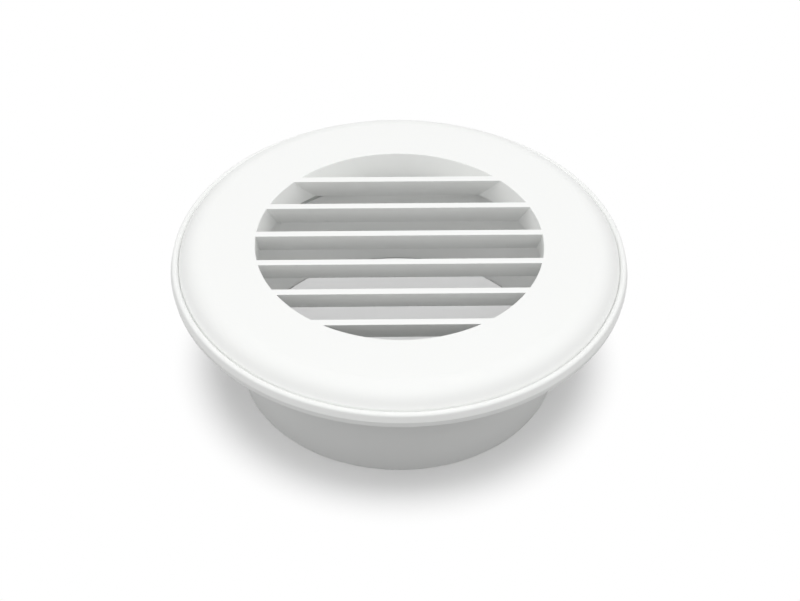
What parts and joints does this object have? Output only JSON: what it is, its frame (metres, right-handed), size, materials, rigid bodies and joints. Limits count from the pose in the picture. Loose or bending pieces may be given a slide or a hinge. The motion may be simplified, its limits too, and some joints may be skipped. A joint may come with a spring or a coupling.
{
  "type": "heat vent",
  "caption": "Round white plastic heat vent with a domed flange, slanted louvre slats in its opening and a collar that fits a 4 inch duct.",
  "frame": {"origin": "centre of the collar's lower edge, on the vent's axis", "axes": "+Z along the vent's axis, out of the grille's face; X along the slats; the slats' tops lean towards -Y"},
  "size_m": [0.14, 0.14, 0.0484],
  "materials": {
    "white_plastic": "fine satin moulded white plastic"
  },
  "bodies": {
    "root": {"vent_body": "white_plastic"}
  },
  "joints": []
}
